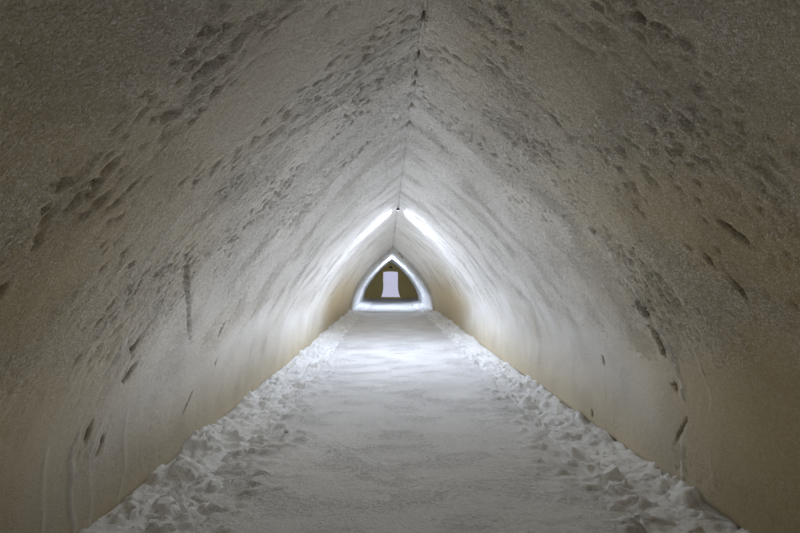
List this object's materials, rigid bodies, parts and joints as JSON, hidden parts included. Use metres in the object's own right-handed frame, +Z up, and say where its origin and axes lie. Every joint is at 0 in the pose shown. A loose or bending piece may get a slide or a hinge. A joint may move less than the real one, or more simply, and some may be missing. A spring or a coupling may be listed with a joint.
{
  "type": "snow gallery of an igloo hotel",
  "caption": "Pointed vault of packed snow over a trodden floor, stepping down to a narrower neck and a small end chamber with a flared doorway; a covered walk in a snow building.",
  "frame": {"origin": "middle of the footprint, on the ground", "axes": "+Y from the open mouth to the doorway in the end wall, +X to the right when walking in, +Z up"},
  "size_m": [7.1, 35.47, 3.8505],
  "materials": {
    "blown_snow": "frosted packed snow",
    "loose_snow": "loose snow crumbs",
    "trodden_snow": "trodden snow",
    "carved_snow": "smoothed snow",
    "lamp_housing": "matt black",
    "lamp_lens": "opal",
    "dark_fitting": "matt"
  },
  "bodies": {
    "root": {"gallery_vault_1_left": "blown_snow", "gallery_vault_1_right": "blown_snow", "gallery_vault_2_left": "blown_snow", "gallery_vault_2_right": "blown_snow", "gallery_vault_3_left": "blown_snow", "gallery_vault_3_right": "blown_snow", "gallery_vault_4_left": "blown_snow", "gallery_vault_4_right": "blown_snow", "neck_vault_1_left": "blown_snow", "neck_vault_1_right": "blown_snow", "neck_vault_2_left": "blown_snow", "neck_vault_2_right": "blown_snow", "chamber_vault_1_left": "blown_snow", "chamber_vault_1_right": "blown_snow", "gallery_bank_1_left": "loose_snow", "gallery_bank_1_right": "loose_snow", "gallery_bank_2_left": "loose_snow", "gallery_bank_2_right": "loose_snow", "gallery_bank_3_left": "loose_snow", "gallery_bank_3_right": "loose_snow", "gallery_bank_4_left": "loose_snow", "gallery_bank_4_right": "loose_snow", "neck_bank_1_left": "loose_snow", "neck_bank_1_right": "loose_snow", "neck_bank_2_left": "loose_snow", "neck_bank_2_right": "loose_snow", "chamber_bank_1_left": "loose_snow", "chamber_bank_1_right": "loose_snow", "gallery_floor": "trodden_snow", "neck_floor": "trodden_snow", "chamber_floor": "trodden_snow", "end_wall_left": "carved_snow", "end_wall_right": "carved_snow", "end_wall_head": "carved_snow", "door_sill": "carved_snow", "door_fitting": "dark_fitting", "lamp_1_housing": "lamp_housing", "lamp_1_lens": "lamp_lens", "lamp_2_housing": "lamp_housing", "lamp_2_lens": "lamp_lens"}
  },
  "joints": []
}
